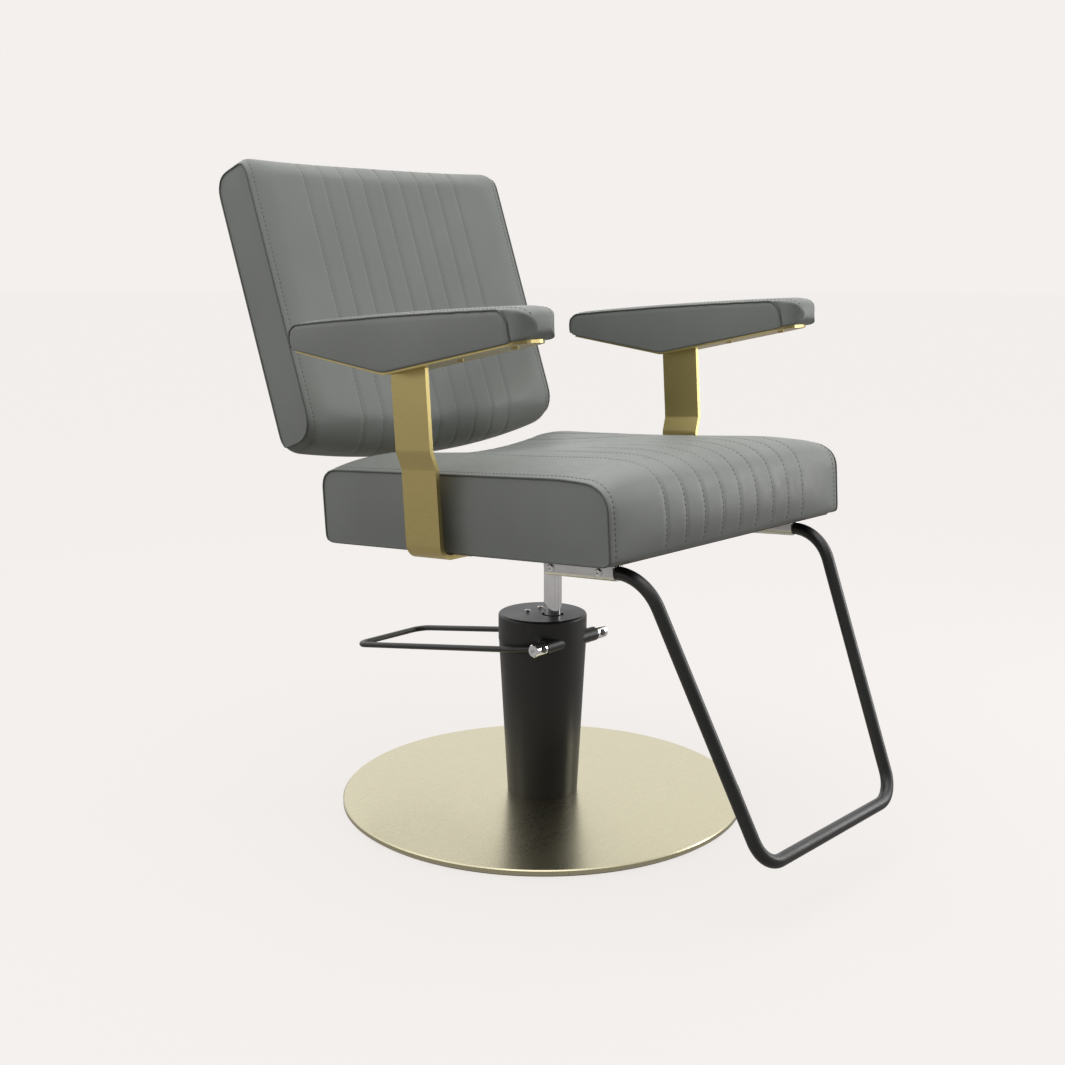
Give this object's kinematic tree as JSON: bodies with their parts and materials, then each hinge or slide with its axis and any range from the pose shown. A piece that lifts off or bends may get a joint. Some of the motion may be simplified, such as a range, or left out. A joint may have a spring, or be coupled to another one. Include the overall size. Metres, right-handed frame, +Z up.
{
  "type": "styling chair",
  "caption": "Salon styling chair: round brass-tone disc base, foot-pumped hydraulic column, channelled upholstered seat and back, padded arms, tube footrest.",
  "frame": {"origin": "centre of the round base on the floor", "axes": "+Z up; the chair faces -Y at rest, +X is the sitter's left-hand side"},
  "size_m": [0.651, 0.9154, 0.9449],
  "materials": {
    "leatherette": "satin",
    "brushed_brass": "satin",
    "disc_brass": "satin",
    "black_paint": "satin",
    "chrome": "polished",
    "satin_steel": "satin",
    "steel": "satin",
    "rubber": "matte",
    "plywood": "matte",
    "back_panel": "matte",
    "bronze": "satin",
    "dust_cloth": "matte",
    "foam": "matte"
  },
  "bodies": {
    "stand": {"floor_pad": "rubber", "base_disc": "disc_brass", "base_screws": "steel", "pump_flange": "black_paint", "pressure_cylinder": "steel", "guide_bush": "bronze", "wiper_ring": "rubber", "column_shell": "black_paint", "column_cap": "black_paint", "cap_screws": "chrome", "axle_bushes": "bronze", "plunger_barrel": "steel", "release_valve": "bronze"},
    "lift": {"piston_head": "steel", "piston_seal": "rubber", "thrust_bearing": "bronze"},
    "chair": {"piston_rod": "chrome", "seat_socket": "black_paint", "seat_plate": "black_paint", "seat_plate_screws": "steel", "seat_board": "plywood", "dust_cover": "dust_cloth", "seat_foam": "foam", "seat_cover": "leatherette", "arm_strap_left": "brushed_brass", "arm_strap_right": "brushed_brass", "strap_screws": "steel", "arm_plate_left": "brushed_brass", "arm_plate_right": "brushed_brass", "arm_screws": "brushed_brass", "arm_pad_left": "leatherette", "arm_pad_right": "leatherette", "back_bracket": "brushed_brass", "bracket_screws": "steel", "back_board": "back_panel", "back_foam": "foam", "back_cover": "leatherette", "back_screws": "steel", "footrest_tube": "black_paint", "tube_socket_left": "satin_steel", "tube_socket_right": "satin_steel", "socket_screws": "chrome"},
    "lever": {"lever_axle": "steel", "rocker_arm": "black_paint", "clamp_left": "chrome", "clamp_right": "chrome", "clamp_screws": "chrome", "lever_bar": "black_paint"},
    "plunger": {"pump_plunger": "steel", "plunger_spring": "steel"}
  },
  "joints": [
    {"name": "seat_lift", "type": "slide", "parent": "stand", "child": "lift", "axis": [0, 0, 1], "range_m": [0, 0.15]},
    {"name": "seat_swivel", "type": "hinge", "parent": "lift", "child": "chair", "pos_m": [0, -0.02, 0.4], "axis": [0, 0, 1], "continuous": true},
    {"name": "pump_lever", "type": "hinge", "parent": "stand", "child": "lever", "pos_m": [0, -0.052, 0.25], "axis": [1, 0, 0], "range_deg": [-24, 0], "stiffness_Nm_per_rad": 8, "springref_deg": 20.05},
    {"name": "plunger_stroke", "type": "slide", "parent": "stand", "child": "plunger", "axis": [0, 0, 1], "range_m": [-0.0245, 0], "deforming": ["plunger_spring"]}
  ],
  "couplings": [
    {"joint": "plunger_stroke", "follows": "pump_lever", "m_per_rad": 0.058}
  ]
}
